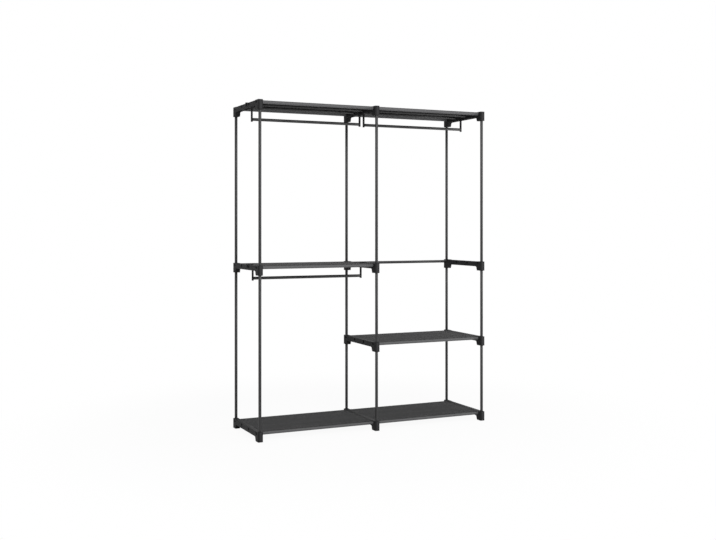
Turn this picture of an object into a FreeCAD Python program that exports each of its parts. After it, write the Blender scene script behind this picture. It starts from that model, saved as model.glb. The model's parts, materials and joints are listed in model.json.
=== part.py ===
import FreeCAD, Part
import math
import os

# Open frame wardrobe: two bays of steel tubes between moulded side bars, with fabric shelves
# and hanging rods. Millimetres. X runs along the width, Y to the rear and Z up, and the origin
# lies on the floor at the centre of the footprint.

# Overall size over the side bars
WIDTH = 1390.0
DEPTH = 430.0
HEIGHT = 1800.0

# Steel tube, the same for posts, shelves and rods
TUBE_D = 16.0
TUBE_WALL = 1.0
BORE_SIDES = 6

# Sockets, sleeves and pegs, whose flats stand close to the tube
SOCKET_SIDES = 8
SOCKET_CLEAR = 0.2

# Side bar: end blocks
BLOCK_H = 53.0
POST_WALL = 4.3
SIDE_WALL = 5.3
BETWEEN_WALL = 4.1
TOE_WALL = 5.8
TOE_DRAFT = 5.0
CORNER_BEVEL = 2.5
POST_STOP = 4.0

# Side bar: arched bar between the blocks, cored from below
ARCH_H = 23.5
ARCH_R = 12.0
BAR_DROP = 1.5
TOP_BLEND = 6.0
BAR_WALL = 3.0
BOSS_WALL = 2.8
TUBE_COVER = 2.8
SOCKET_WEB = 3.0

# Fabric shelf
FABRIC_T = 1.0
FABRIC_CLEAR = 0.3
FABRIC_END_GAP = 1.5
NOTCH_GAP = 1.0

# Hanging rod and its hooks
HOOK_CLEAR = 0.4
HOOK_SEAT = 0.3
HOOK_TOP = 4.0
HOOK_LENGTH = 12.0
LIP_T = 3.5
LIP_H = 18.0
ARM_W = 8.0
TIP_DROP = 13.0
PEG_LENGTH = 15.0
PEG_CLEAR = 0.3
TOP_ROD_DROP = 87.0
MIDDLE_ROD_DROP = 75.0
ROD_END_GAP = 0.5
TOP_LEFT_ROD_Y = -18.0
TOP_RIGHT_ROD_Y = 4.0
MIDDLE_LEFT_ROD_Y = -33.0

# Sizes that follow
TUBE_R = TUBE_D / 2
SOCKET_R = TUBE_R + SOCKET_CLEAR
BAR_W = 2 * (SOCKET_R + SIDE_WALL)
BAR_HALF = BAR_W / 2
BAR_TOP = BLOCK_H - BAR_DROP
POST_X = WIDTH / 2 - BAR_HALF
BLOCK_END = DEPTH / 2
POST_Y = BLOCK_END - POST_WALL - SOCKET_R
EDGE_TUBE_Y = POST_Y - 2 * SOCKET_R - BETWEEN_WALL
INNER_TUBE_Y = EDGE_TUBE_Y / 3
TOE_Y = EDGE_TUBE_Y - SOCKET_R - TOE_WALL
TUBE_Z = BLOCK_H - TUBE_COVER - SOCKET_R
POST_DEPTH = (BLOCK_H - POST_STOP) / 2
SOCKET_DEPTH = BAR_HALF - SOCKET_WEB / 2
SLEEVE_R = TUBE_R + FABRIC_CLEAR
FABRIC_TOP = TUBE_Z + SLEEVE_R + FABRIC_T
ARM_NEAR = BAR_HALF + HOOK_CLEAR
ARM_FAR = ARM_NEAR + ARM_W
PEG_R = TUBE_R - TUBE_WALL - PEG_CLEAR
CUT_OVER = 1.0

COLUMN_X = {"left": -POST_X, "centre": 0.0, "right": POST_X}
BAY_COLUMNS = {"left": ("left", "centre"), "right": ("centre", "right")}
TOP_Z = HEIGHT - BLOCK_H
LEVEL_Z = {"base": 0.0, "low": TOP_Z / 4, "middle": TOP_Z / 2, "top": TOP_Z}
ROW_SIGN = {"front": -1, "rear": 1}
SHELF_TUBE_Y = (-EDGE_TUBE_Y, -INNER_TUBE_Y, INNER_TUBE_Y, EDGE_TUBE_Y)

COLUMN_LEVELS = {
    "left": ("base", "middle", "top"),
    "centre": ("base", "low", "middle", "top"),
    "right": ("base", "low", "middle", "top"),
}
TUBES_Y = {
    ("base", "left"): SHELF_TUBE_Y,
    ("base", "right"): SHELF_TUBE_Y,
    ("low", "right"): SHELF_TUBE_Y,
    ("middle", "left"): SHELF_TUBE_Y,
    ("middle", "right"): (EDGE_TUBE_Y,),
    ("top", "left"): SHELF_TUBE_Y,
    ("top", "right"): SHELF_TUBE_Y,
}
ROD_Y = {
    ("top", "left"): TOP_LEFT_ROD_Y,
    ("top", "right"): TOP_RIGHT_ROD_Y,
    ("middle", "left"): MIDDLE_LEFT_ROD_Y,
}
ROD_Z = {
    "top": LEVEL_Z["top"] + BLOCK_H - TOP_ROD_DROP,
    "middle": LEVEL_Z["middle"] + BLOCK_H - MIDDLE_ROD_DROP,
}

ALONG_X = FreeCAD.Vector(1, 0, 0)
ALONG_Y = FreeCAD.Vector(0, 1, 0)
ALONG_Z = FreeCAD.Vector(0, 0, 1)


def vec(x, y, z):
    return FreeCAD.Vector(x, y, z)


def save(shape, node):
    shape.exportStep("parts/%s.step" % node)


def box(low, high):
    """A block between two opposite corners."""
    size = high - low
    return Part.makeBox(size.x, size.y, size.z, low)


def polyline(points):
    return [Part.makeLine(a, b) for a, b in zip(points, points[1:])]


def arc(centre, radius, from_deg, to_deg):
    """A circular edge about centre in the plane of a side bar's profile."""
    points = []
    for degrees in (from_deg, (from_deg + to_deg) / 2, to_deg):
        turn = math.radians(degrees)
        points.append(centre + vec(0, radius * math.cos(turn), radius * math.sin(turn)))
    return Part.Arc(*points).toShape()


def prism(start, along, length, corner_r, sides):
    """A prism with equal flats, one of which faces up where it lies along X."""
    step = 2 * math.pi / sides
    turns = [step * (i + 0.5) for i in range(sides)]
    ring = [vec(corner_r * math.cos(turn), corner_r * math.sin(turn), 0) for turn in turns]
    body = Part.Face(Part.Wire(polyline(ring + ring[:1]))).extrude(ALONG_Z * length)
    body.Placement = FreeCAD.Placement(start, FreeCAD.Rotation(ALONG_Z, along))
    return body


def flats(start, along, length, flat_r, sides):
    """A prism whose flats lie at flat_r from its axis."""
    return prism(start, along, length, flat_r / math.cos(math.pi / sides), sides)


def fixed_tube(start, along, length):
    """A tube with both ends in sockets. Its unseen bore has flats and the area of a round one."""
    area = math.pi * (TUBE_R - TUBE_WALL) ** 2
    corner_r = math.sqrt(2 * area / (BORE_SIDES * math.sin(2 * math.pi / BORE_SIDES)))
    outside = Part.makeCylinder(TUBE_R, length, start, along)
    return outside.cut(prism(start, along, length, corner_r, BORE_SIDES))


def turning_tube(start, along, length):
    """A tube with a round bore that turns on the pegs of its hooks."""
    outside = Part.makeCylinder(TUBE_R, length, start, along)
    return outside.cut(Part.makeCylinder(TUBE_R - TUBE_WALL, length, start, along))


def bar_profile(x, z):
    """Side view of a bar: two blocks with drafted toes and an arched bar between them."""
    springing = TOE_Y - ARCH_R
    arch = z + ARCH_H
    foot = TOE_Y + TOE_DRAFT
    edges = polyline([vec(x, -BLOCK_END, z), vec(x, -foot, z), vec(x, -TOE_Y, arch - ARCH_R)])
    edges.append(arc(vec(x, -springing, arch - ARCH_R), ARCH_R, 180, 90))
    edges += polyline([vec(x, -springing, arch), vec(x, springing, arch)])
    edges.append(arc(vec(x, springing, arch - ARCH_R), ARCH_R, 90, 0))
    edges += polyline([
        vec(x, TOE_Y, arch - ARCH_R),
        vec(x, foot, z),
        vec(x, BLOCK_END, z),
        vec(x, BLOCK_END, z + BLOCK_H),
        vec(x, TOE_Y, z + BLOCK_H),
        vec(x, TOE_Y - TOP_BLEND, z + BAR_TOP),
        vec(x, -TOE_Y + TOP_BLEND, z + BAR_TOP),
        vec(x, -TOE_Y, z + BLOCK_H),
        vec(x, -BLOCK_END, z + BLOCK_H),
        vec(x, -BLOCK_END, z),
    ])
    return Part.Face(Part.Wire(edges))


def bar_body(x, z):
    """The bar's outer form, with its four upright corners bevelled."""
    body = bar_profile(x - BAR_HALF, z).extrude(ALONG_X * BAR_W)
    corners = [edge for edge in body.Edges if is_end_corner(edge)]
    return body.makeChamfer(CORNER_BEVEL, corners)


def is_end_corner(edge):
    """True for an upright edge at the front or rear end of a bar."""
    bounds = edge.BoundBox
    return abs(bounds.Center.y) > POST_Y and bounds.ZLength > BLOCK_H / 2


def underside_pockets(x, z):
    """What the mould takes out from below, before, between and behind the inner tubes' bosses."""
    half = BAR_HALF - BAR_WALL
    reach = TOE_Y - ARCH_R
    boss = SOCKET_R + BOSS_WALL
    stretches = (
        (-reach, -INNER_TUBE_Y - boss),
        (-INNER_TUBE_Y + boss, INNER_TUBE_Y - boss),
        (INNER_TUBE_Y + boss, reach),
    )
    roof = z + BAR_TOP - BAR_WALL
    return [box(vec(x - half, front, z), vec(x + half, rear, roof)) for front, rear in stretches]


def tube_sockets(column, level):
    """Blind sockets in the bar's faces, one for each tube that ends there."""
    x, z = COLUMN_X[column], LEVEL_Z[level]
    cuts = []
    for bay, (near, far) in BAY_COLUMNS.items():
        for side, bar_column in ((1, near), (-1, far)):
            if bar_column == column:
                for y in TUBES_Y.get((level, bay), ()):
                    mouth = vec(x + side * BAR_HALF, y, z + TUBE_Z)
                    cuts.append(flats(mouth, ALONG_X * -side, SOCKET_DEPTH, SOCKET_R, SOCKET_SIDES))
    return cuts


def post_sockets(column, level):
    """Blind sockets for the posts: none under the feet and none through the top."""
    x, z = COLUMN_X[column], LEVEL_Z[level]
    cuts = []
    for y in (-POST_Y, POST_Y):
        if level != "top":
            mouth = vec(x, y, z + BLOCK_H)
            cuts.append(flats(mouth, ALONG_Z * -1, POST_DEPTH, SOCKET_R, SOCKET_SIDES))
        if level != "base":
            cuts.append(flats(vec(x, y, z), ALONG_Z, POST_DEPTH, SOCKET_R, SOCKET_SIDES))
    return cuts


def side_bar(column, level):
    x, z = COLUMN_X[column], LEVEL_Z[level]
    cuts = underside_pockets(x, z) + tube_sockets(column, level) + post_sockets(column, level)
    return bar_body(x, z).cut(cuts).removeSplitter()


def post(column, row, lower, upper):
    """A post tube that seats on the stops of the two bars it joins."""
    start = LEVEL_Z[lower] + BLOCK_H - POST_DEPTH
    length = LEVEL_Z[upper] + POST_DEPTH - start
    return fixed_tube(vec(COLUMN_X[column], ROW_SIGN[row] * POST_Y, start), ALONG_Z, length)


def bay_ends(bay):
    """The centre planes of the bars at the two ends of a bay."""
    return [COLUMN_X[column] for column in BAY_COLUMNS[bay]]


def cross_tube(level, bay, y):
    """A horizontal tube that seats on the socket webs of the bars at both ends of its bay."""
    near, far = bay_ends(bay)
    inset = BAR_HALF - SOCKET_DEPTH
    start = vec(near + inset, y, LEVEL_Z[level] + TUBE_Z)
    return fixed_tube(start, ALONG_X, far - near - 2 * inset)


def fabric_shelf(level, bay):
    """A taut panel over the inner tubes with a sleeve round each edge tube."""
    near, far = bay_ends(bay)
    inset = BAR_HALF + FABRIC_END_GAP
    length = far - near - 2 * inset
    z = LEVEL_Z[level]
    shelf = box(vec(near + inset, -EDGE_TUBE_Y, z + FABRIC_TOP - FABRIC_T),
                vec(far - inset, EDGE_TUBE_Y, z + FABRIC_TOP))
    bores = []
    for y in (-EDGE_TUBE_Y, EDGE_TUBE_Y):
        start = vec(near + inset, y, z + TUBE_Z)
        shelf = shelf.fuse(flats(start, ALONG_X, length, SLEEVE_R + FABRIC_T, SOCKET_SIDES))
        bores.append(flats(start, ALONG_X, length, SLEEVE_R, SOCKET_SIDES))
    shelf = shelf.cut(bores)
    if (level, bay) in ROD_Y:
        shelf = shelf.cut([hook_notch(near, 1, z), hook_notch(far, -1, z)])
    return shelf.removeSplitter()


def hook_notch(x, side, z):
    """The cut in a shelf's end, between the inner tubes, that the hook arm slides in."""
    half = INNER_TUBE_Y - TUBE_R - FABRIC_CLEAR
    low_x, high_x = sorted((x, x + side * (ARM_FAR + NOTCH_GAP)))
    return box(vec(low_x, -half, z + TUBE_Z), vec(high_x, half, z + FABRIC_TOP + CUT_OVER))


def rod_hook(level, x, side, y):
    """A hook that saddles the bar at x, with its arm and the rod's peg on the bay's side of it."""
    seat = LEVEL_Z[level] + BAR_TOP + HOOK_SEAT
    crown = seat + HOOK_TOP
    tip = seat - LIP_H
    axis = ROD_Z[level]
    back = x - side * (ARM_NEAR + LIP_T)
    lip = x - side * ARM_NEAR
    near = x + side * ARM_NEAR
    far = x + side * ARM_FAR
    front = y - HOOK_LENGTH / 2
    end = axis - TIP_DROP
    corners = ((back, tip), (back, crown), (far, crown), (far, end), (near, end), (near, seat),
               (lip, seat), (lip, tip), (back, tip))
    outline = [vec(corner_x, front, corner_z) for corner_x, corner_z in corners]
    strap = Part.Face(Part.Wire(polyline(outline))).extrude(ALONG_Y * HOOK_LENGTH)
    peg = prism(vec(far, y, axis), ALONG_X * side, PEG_LENGTH, PEG_R, SOCKET_SIDES)
    return strap.fuse(peg).removeSplitter()


def rod_hooks(level, bay):
    """The pair of hooks that hold one rod."""
    near, far = bay_ends(bay)
    y = ROD_Y[level, bay]
    return Part.makeCompound([rod_hook(level, near, 1, y), rod_hook(level, far, -1, y)])


def hanging_rod(level, bay):
    """A rod between two hooks, over the peg of each."""
    near, far = bay_ends(bay)
    inset = ARM_FAR + ROD_END_GAP
    start = vec(near + inset, ROD_Y[level, bay], ROD_Z[level])
    return turning_tube(start, ALONG_X, far - near - 2 * inset)


def post_stages(column):
    """Each post tube of a column: its name and the two levels that it joins."""
    levels = COLUMN_LEVELS[column]
    names = ("lower", "upper") if len(levels) == 3 else ("lower", "middle", "upper")
    return zip(names, levels, levels[1:])


def build_columns():
    for column, levels in COLUMN_LEVELS.items():
        for level in levels:
            save(side_bar(column, level), "side_bar_%s_%s" % (column, level))
        for stage, lower, upper in post_stages(column):
            for row in ROW_SIGN:
                save(post(column, row, lower, upper), "post_%s_%s_%s" % (column, row, stage))


def build_shelves():
    for (level, bay), tubes_y in TUBES_Y.items():
        if tubes_y is not SHELF_TUBE_Y:
            save(cross_tube(level, bay, *tubes_y), "tie_tube_%s_%s_rear" % (level, bay))
            continue
        for row, sign in ROW_SIGN.items():
            edge = cross_tube(level, bay, sign * EDGE_TUBE_Y)
            save(edge, "shelf_tube_%s_%s_%s" % (level, bay, row))
        inner = [cross_tube(level, bay, y) for y in (-INNER_TUBE_Y, INNER_TUBE_Y)]
        save(Part.makeCompound(inner), "shelf_tubes_%s_%s_inner" % (level, bay))
        save(fabric_shelf(level, bay), "shelf_fabric_%s_%s" % (level, bay))


def build_rods():
    for level, bay in ROD_Y:
        save(rod_hooks(level, bay), "rod_hooks_%s_%s" % (level, bay))
        save(hanging_rod(level, bay), "hanging_rod_%s_%s" % (level, bay))


os.makedirs("parts", exist_ok=True)
build_columns()
build_shelves()
build_rods()
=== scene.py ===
import json
import math

import bmesh
import bpy
from bpy.props import (
    FloatProperty,
    FloatVectorProperty,
    IntProperty,
    PointerProperty,
)
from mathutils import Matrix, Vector, noise


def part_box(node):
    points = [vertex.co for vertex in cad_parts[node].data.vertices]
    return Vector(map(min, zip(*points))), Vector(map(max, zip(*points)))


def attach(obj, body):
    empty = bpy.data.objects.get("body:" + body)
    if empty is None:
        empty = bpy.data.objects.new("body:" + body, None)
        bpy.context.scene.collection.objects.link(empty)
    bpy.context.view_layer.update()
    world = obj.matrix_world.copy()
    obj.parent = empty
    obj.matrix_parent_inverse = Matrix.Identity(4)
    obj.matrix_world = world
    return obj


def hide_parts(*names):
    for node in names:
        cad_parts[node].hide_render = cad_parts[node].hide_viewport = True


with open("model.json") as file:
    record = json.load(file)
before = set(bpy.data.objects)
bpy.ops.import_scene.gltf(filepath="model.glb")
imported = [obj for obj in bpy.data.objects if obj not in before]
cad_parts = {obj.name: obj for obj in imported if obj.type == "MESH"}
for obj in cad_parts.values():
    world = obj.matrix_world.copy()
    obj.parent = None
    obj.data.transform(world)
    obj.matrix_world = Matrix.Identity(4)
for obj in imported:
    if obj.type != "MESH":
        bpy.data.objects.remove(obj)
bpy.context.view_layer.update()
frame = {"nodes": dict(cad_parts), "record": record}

bl_info = {
    "name": "Open Frame Wardrobe",
    "version": (1, 0, 0),
    "blender": (4, 5, 0),
    "location": "View3D > Sidebar > Wardrobe",
    "description": "Dresses an open frame wardrobe of coated tubes, moulded bars "
                   "and fabric shelves",
    "category": "Object",
}

MM = 0.001

BAYS = {"left": ("left", "centre"), "right": ("centre", "right")}
SHELVES = ("base_left", "base_right", "low_right", "middle_left", "top_left", "top_right")
RODS = ("top_left", "top_right", "middle_left")

TUBE_LOW, TUBE_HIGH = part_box("post_left_front_lower")
TUBE_DIAMETER = TUBE_HIGH.x - TUBE_LOW.x
TUBE_RADIUS = TUBE_DIAMETER / 2

# Moulded bars and hooks
MERGE_WITHIN = 0.002 * MM
FLAT_WITHIN = math.radians(1.0)
ROUNDED_PAST = math.radians(30)
ROUNDING_STEPS = 3
SOCKET_PLAY = 0.2 * MM
SOCKET_REACH = 1.5 * MM
SOCKET_DEPTH = 30.0 * MM
SOCKET_SIDES = 32
PLUG_OUT = 2.0 * MM
RIM_PLAY = 0.1 * MM
RIM_SINK = 0.5 * MM
RIM_ROUND = 0.6 * MM
RIM_SHARE = 0.4
RIM_STEPS = 2
RIM_SIDES = 36
RIB_SIDES = 28
RIB_RINGS = 16

# Rub of handled edges: from this turn of the surface, in radians, to this much more
RUB_FROM = 0.3
RUB_SPAN = 0.25
# The ribs get at least this rub level all over, so the rub colour paints a highlight on them
RIB_PAINTED_HIGHLIGHT = 6.0
# Lighter colour of rubbed edges, also the painted highlight on the ribs
RUB_AND_HIGHLIGHT_COLOUR = (0.06, 0.06, 0.062, 1.0)

# Edges stay crisp past these angles, in degrees
CRISP_MOULDING, CRISP_TREE, CRISP_CLOTH = 35, 40, 50

# Fabric shelves: the sewn section, as shares of the cloth's thickness, hem or sleeve radius
SEAM_DROP = 1.15
LAP_STEPS = 3
FLANK_STEPS = 4
SLEEVE_STEPS = 24
SLEEVE_TOP = -1.5 * math.pi
PANEL_STEPS = 12
COLUMNS = 56
HEM_LINES = (0.28, 0.92, 1.0, 1.3)
HEM_END = 0.95
HEM_SEAM = 0.78
HEM_RISE = 0.16
HEM_STEPS = 60
SINGLE_LAYER = 0.75
THREAD_SHOWS = 0.25
STITCH_SIDES = 6
STITCH_RINGS = 4
NOTCH_PLAY = 0.1 * MM
# A sleeve is taut below this share of its radius above its axis, fully so this share lower; there
# it takes a lighter colour, partly the stretched cloth and mostly a painted highlight
TAUT_HIGHLIGHT_FROM = 0.92
TAUT_HIGHLIGHT_SPAN = 0.3

# Slack of the panel near its ends, and its small ripples in waves per metre
END_SLACK = 0.5
END_REACH = 0.03
RIPPLE = 0.15 * MM
RIPPLE_ALONG = 7.0
RIPPLE_ACROSS = 16.0
RIPPLE_FINE = 2.3
RIPPLE_FINE_SHARE = 0.5
RIPPLE_SEED = (3.7, 1.3, 5.1)

# Bonded dimples and combed fibres of the cloth, per metre
BONDS = (620.0, 620.0, 1.0)
BOND_TURN = (0.0, 0.0, math.radians(45))
FIBRES = (2600.0, 420.0, 1.0)

# Stage, in metres and degrees
WHITE = (1.0, 1.0, 1.0, 1.0)
FLOOR_HALF = 30.0
SHADOW_NEAR, SHADOW_FAR = 0.9, 2.2
SHADOW_KEPT = 0.94
LIT_POINT = Vector((0.0, 0.0, 0.9))
KEY_PLACE, KEY_SIZE = Vector((-0.6, -4.4, 3.2)), 2.4
FILL_PLACE, FILL_SIZE = Vector((3.8, -2.2, 1.2)), 1.8
CAMERA_PLACE = (-2.3848, -5.09, 1.1413)
CAMERA_TURN = -24.9256
CAMERA_SHIFT = -0.0633
SENSOR_MM = 36.0


def node_names(prefix):
    return sorted(name for name in frame["nodes"] if name.startswith(prefix))


def centre_of(node):
    low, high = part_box(node)
    return (low + high) / 2


# Sizes and finishes that a user would change


class WardrobeTubeSizes(bpy.types.PropertyGroup):
    diameter: FloatProperty(
        name="Diameter", description="Outside diameter of the steel tube",
        default=TUBE_DIAMETER, min=0.005, unit="LENGTH")
    wall: FloatProperty(
        name="Wall", description="Wall thickness of the steel tube",
        default=1.0 * MM, min=0.0003, unit="LENGTH")
    rim: FloatProperty(
        name="Rim Radius", description="Rounding of the cut ends",
        default=0.35 * MM, min=0.0, unit="LENGTH")
    sides: IntProperty(
        name="Sides", description="Flats round a tube", default=40, min=12, max=96)


class WardrobeMouldingSizes(bpy.types.PropertyGroup):
    edge_round: FloatProperty(
        name="Edge Rounding", description="Rounding of the moulded edges",
        default=1.1 * MM, min=0.0, unit="LENGTH")
    collar_out: FloatProperty(
        name="Collar Length", description="How far a tube collar stands out of its bar",
        default=1.1 * MM, min=0.0, unit="LENGTH")
    collar_wall: FloatProperty(
        name="Collar Wall", description="Wall of a tube collar",
        default=1.75 * MM, min=0.0005, unit="LENGTH")
    blind_depth: FloatProperty(
        name="Blind Depth", description="Depth of a socket that no tube uses",
        default=10.0 * MM, min=0.0, unit="LENGTH")
    rib_width: FloatProperty(
        name="Rib Width", description="Width of the upright rib on a block's end",
        default=12.5 * MM, min=0.001, unit="LENGTH")
    rib_out: FloatProperty(
        name="Rib Height", description="How far the rib stands out of the block's end",
        default=1.8 * MM, min=0.0, unit="LENGTH")
    post_rim: FloatProperty(
        name="Post Rim Height", description="How far the lip round a post stands out",
        default=0.7 * MM, min=0.0, unit="LENGTH")


class WardrobeFabricSizes(bpy.types.PropertyGroup):
    thickness: FloatProperty(
        name="Thickness", description="Thickness of the cloth",
        default=0.9 * MM, min=0.0003, unit="LENGTH")
    sag: FloatProperty(
        name="Sag", description="How far the panel dips between two tubes",
        default=0.8 * MM, min=0.0, unit="LENGTH")
    seam_back: FloatProperty(
        name="Seam Distance", description="From an edge tube's axis to the seam of its sleeve",
        default=15.0 * MM, min=0.011, unit="LENGTH")
    lap: FloatProperty(
        name="Seam Lap", description="Cloth left behind the seam under the panel",
        default=9.0 * MM, min=0.0, unit="LENGTH")
    hem: FloatProperty(
        name="Hem Width", description="Width of the folded hem at each end",
        default=12.0 * MM, min=0.004, unit="LENGTH")
    notch: FloatProperty(
        name="Notch Depth", description="How far the cut for a hook reaches in from an end",
        default=7.9 * MM, min=0.0, unit="LENGTH")
    stitch: FloatProperty(
        name="Stitch Length", description="Visible length of one stitch",
        default=3.0 * MM, min=0.0005, unit="LENGTH")
    stitch_pitch: FloatProperty(
        name="Stitch Pitch", description="From one stitch to the next",
        default=4.2 * MM, min=0.001, unit="LENGTH")
    thread: FloatProperty(
        name="Thread", description="Diameter of the sewing thread",
        default=0.7 * MM, min=0.0001, unit="LENGTH")


class WardrobeFinishes(bpy.types.PropertyGroup):
    coat: FloatVectorProperty(
        name="Powder Coat", description="Colour of the coated tubes", subtype="COLOR",
        default=(0.016, 0.016, 0.0165), min=0.0, max=1.0)
    plastic: FloatVectorProperty(
        name="Plastic", description="Colour of the moulded bars and hooks", subtype="COLOR",
        default=(0.019, 0.019, 0.0196), min=0.0, max=1.0)
    fabric: FloatVectorProperty(
        name="Fabric", description="Colour of the shelf cloth", subtype="COLOR",
        default=(0.022, 0.022, 0.0227), min=0.0, max=1.0)
    # The sleeves' lighter colour: partly the stretched cloth, mostly a painted highlight
    sleeve: FloatVectorProperty(
        name="Stretched Fabric and Painted Highlight", description="Colour of the cloth where it is stretched on a tube",
        subtype="COLOR", default=(0.09, 0.09, 0.092), min=0.0, max=1.0)
    thread: FloatVectorProperty(
        name="Thread", description="Colour of the sewing thread", subtype="COLOR",
        default=(0.045, 0.045, 0.046), min=0.0, max=1.0)
    dust: FloatVectorProperty(
        name="Dust", description="Colour of the dust that settles on top", subtype="COLOR",
        default=(0.32, 0.31, 0.3), min=0.0, max=1.0)


class WardrobeStage(bpy.types.PropertyGroup):
    floor: FloatVectorProperty(
        name="Floor", description="Colour of the floor", subtype="COLOR",
        default=(0.86, 0.86, 0.86), min=0.0, max=1.0)
    key_power: FloatProperty(
        name="Key Light", description="Power of the large soft light", default=150.0, min=0.0,
        unit="POWER")
    fill_power: FloatProperty(
        name="Fill Light", description="Power of the light on the right", default=90.0, min=0.0,
        unit="POWER")
    ambient: FloatProperty(
        name="Ambient", description="Level of the light from all round", default=0.4, min=0.0)
    lens: FloatProperty(
        name="Lens", description="Focal length of the camera", default=49.32, min=10.0,
        unit="CAMERA")


GROUPS = (
    ("wardrobe_tubes", WardrobeTubeSizes),
    ("wardrobe_moulding", WardrobeMouldingSizes),
    ("wardrobe_fabric", WardrobeFabricSizes),
    ("wardrobe_finishes", WardrobeFinishes),
    ("wardrobe_stage", WardrobeStage),
)


# Node trees


class Tree:
    """Adds nodes to a tree by type and links them by socket."""

    def __init__(self, tree):
        self.tree = tree

    def add(self, kind, settings=None, **inputs):
        """A new node. Its inputs go by their labels, with _ for a space."""
        node = self.tree.nodes.new(kind)
        for label, value in (settings or {}).items():
            setattr(node, label, value)
        for label, value in inputs.items():
            self.feed(node.inputs[label.replace("_", " ")], value)
        return node

    def feed(self, socket, value):
        """Links a socket to another one, or sets its value."""
        if isinstance(value, bpy.types.NodeSocket):
            self.tree.links.new(value, socket)
        else:
            socket.default_value = value

    def reckon(self, kind, operation, values):
        """A node that takes values in the order of its sockets."""
        node = self.add(kind, {"operation": operation})
        for socket, value in zip(node.inputs, values):
            self.feed(socket, value)
        return node.outputs

    def math(self, operation, *values):
        return self.reckon("ShaderNodeMath", operation, values)["Value"]

    def vector_math(self, operation, *values, output="Vector"):
        return self.reckon("ShaderNodeVectorMath", operation, values)[output]

    def cloud(self, place, scale, detail, roughness, **more):
        """Noise about a place."""
        return self.add("ShaderNodeTexNoise", Vector=place, Scale=scale, Detail=detail,
                        Roughness=roughness, **more).outputs["Fac"]

    def ramp(self, value, low, high, course="LINEAR", **ends):
        """From 0 to 1, or between the ends given, as a value goes from low to high."""
        return self.add("ShaderNodeMapRange", {"interpolation_type": course}, Value=value,
                        From_Min=low, From_Max=high, **ends).outputs["Result"]

    def mixed(self, share, first, second):
        """A colour between two others."""
        node = self.add("ShaderNodeMix", {"data_type": "RGBA"})
        values = {"Factor_Float": share, "A_Color": first, "B_Color": second}
        for socket in node.inputs:
            if socket.identifier in values:
                self.feed(socket, values[socket.identifier])
        return next(out for out in node.outputs if out.identifier == "Result_Color")

    def either(self, share, first, second):
        """A shader between two others."""
        node = self.add("ShaderNodeMixShader", Fac=share)
        for socket, shader in zip(node.inputs[1:], (first, second)):
            self.feed(socket, shader)
        return node.outputs["Shader"]


def new_group(name, kind, inputs, outputs):
    """A node group with named sockets. Returns the group, its helper and its input sockets."""
    group = bpy.data.node_groups.new(name, kind)
    for in_out, sockets in (("INPUT", inputs), ("OUTPUT", outputs)):
        for label, socket in sockets.items():
            group.interface.new_socket(label, in_out=in_out, socket_type=socket)
    tree = Tree(group)
    return group, tree, tree.add("NodeGroupInput").outputs


FLOAT, VECTOR, COLOUR = "NodeSocketFloat", "NodeSocketVector", "NodeSocketColor"
COUNT, GEOMETRY, MATERIAL = "NodeSocketInt", "NodeSocketGeometry", "NodeSocketMaterial"
SURFACE = {"Color": COLOUR, "Roughness": FLOAT}


def geometry_group(name, inputs):
    """A group that makes geometry of one material."""
    return new_group(name, "GeometryNodeTree", {**inputs, "Material": MATERIAL},
                     {"Geometry": GEOMETRY})


def close_geometry(tree, geometry, material):
    """Realizes the instances, sets the material and feeds the group's output."""
    real = tree.add("GeometryNodeRealizeInstances", Geometry=geometry)
    painted = tree.add("GeometryNodeSetMaterial", Geometry=real.outputs["Geometry"],
                       Material=material)
    tree.add("NodeGroupOutput", Geometry=painted.outputs["Geometry"])


def hoop(tree, radius, wall, height, rim, sides):
    """A closed ring about Z: a rounded rectangle carried round a circle."""
    path = tree.add("GeometryNodeCurvePrimitiveCircle", Resolution=sides, Radius=radius)
    section = tree.add("GeometryNodeCurvePrimitiveQuadrilateral", Width=wall, Height=height)
    rounded = tree.add("GeometryNodeFilletCurve", {"mode": "POLY"},
                       Curve=section.outputs["Curve"], Count=RIM_STEPS, Radius=rim,
                       Limit_Radius=True)
    return tree.add("GeometryNodeCurveToMesh", Curve=path.outputs["Curve"],
                    Profile_Curve=rounded.outputs["Curve"]).outputs["Mesh"]


def tube_tree():
    """A tube from Start to End, repeated Count times at Spacing."""
    group, tree, given = geometry_group("Coated Tube", {
        "Start": VECTOR, "End": VECTOR, "Diameter": FLOAT, "Wall": FLOAT, "Rim Radius": FLOAT,
        "Sides": COUNT, "Count": COUNT, "Spacing": VECTOR,
    })
    length = tree.vector_math("DISTANCE", given["Start"], given["End"], output="Value")
    inner = tree.math("SUBTRACT", given["Diameter"], given["Wall"])
    tube = hoop(tree, tree.math("MULTIPLY", inner, 0.5), given["Wall"], length,
                given["Rim Radius"], given["Sides"])
    run = tree.vector_math("SUBTRACT", given["End"], given["Start"])
    turn = tree.add("FunctionNodeAlignRotationToVector", {"axis": "Z"}, Vector=run)
    ends = tree.vector_math("ADD", given["Start"], given["End"])
    middle = tree.add("ShaderNodeVectorMath", {"operation": "SCALE"}, Vector=ends, Scale=0.5)
    placed = tree.add("GeometryNodeTransform", Geometry=tube,
                      Translation=middle.outputs["Vector"], Rotation=turn.outputs["Rotation"])
    row = tree.add("GeometryNodeMeshLine", Count=given["Count"], Offset=given["Spacing"])
    tubes = tree.add("GeometryNodeInstanceOnPoints", Points=row.outputs["Mesh"],
                     Instance=placed.outputs["Geometry"])
    close_geometry(tree, tubes.outputs["Instances"], given["Material"])
    return group


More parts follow.
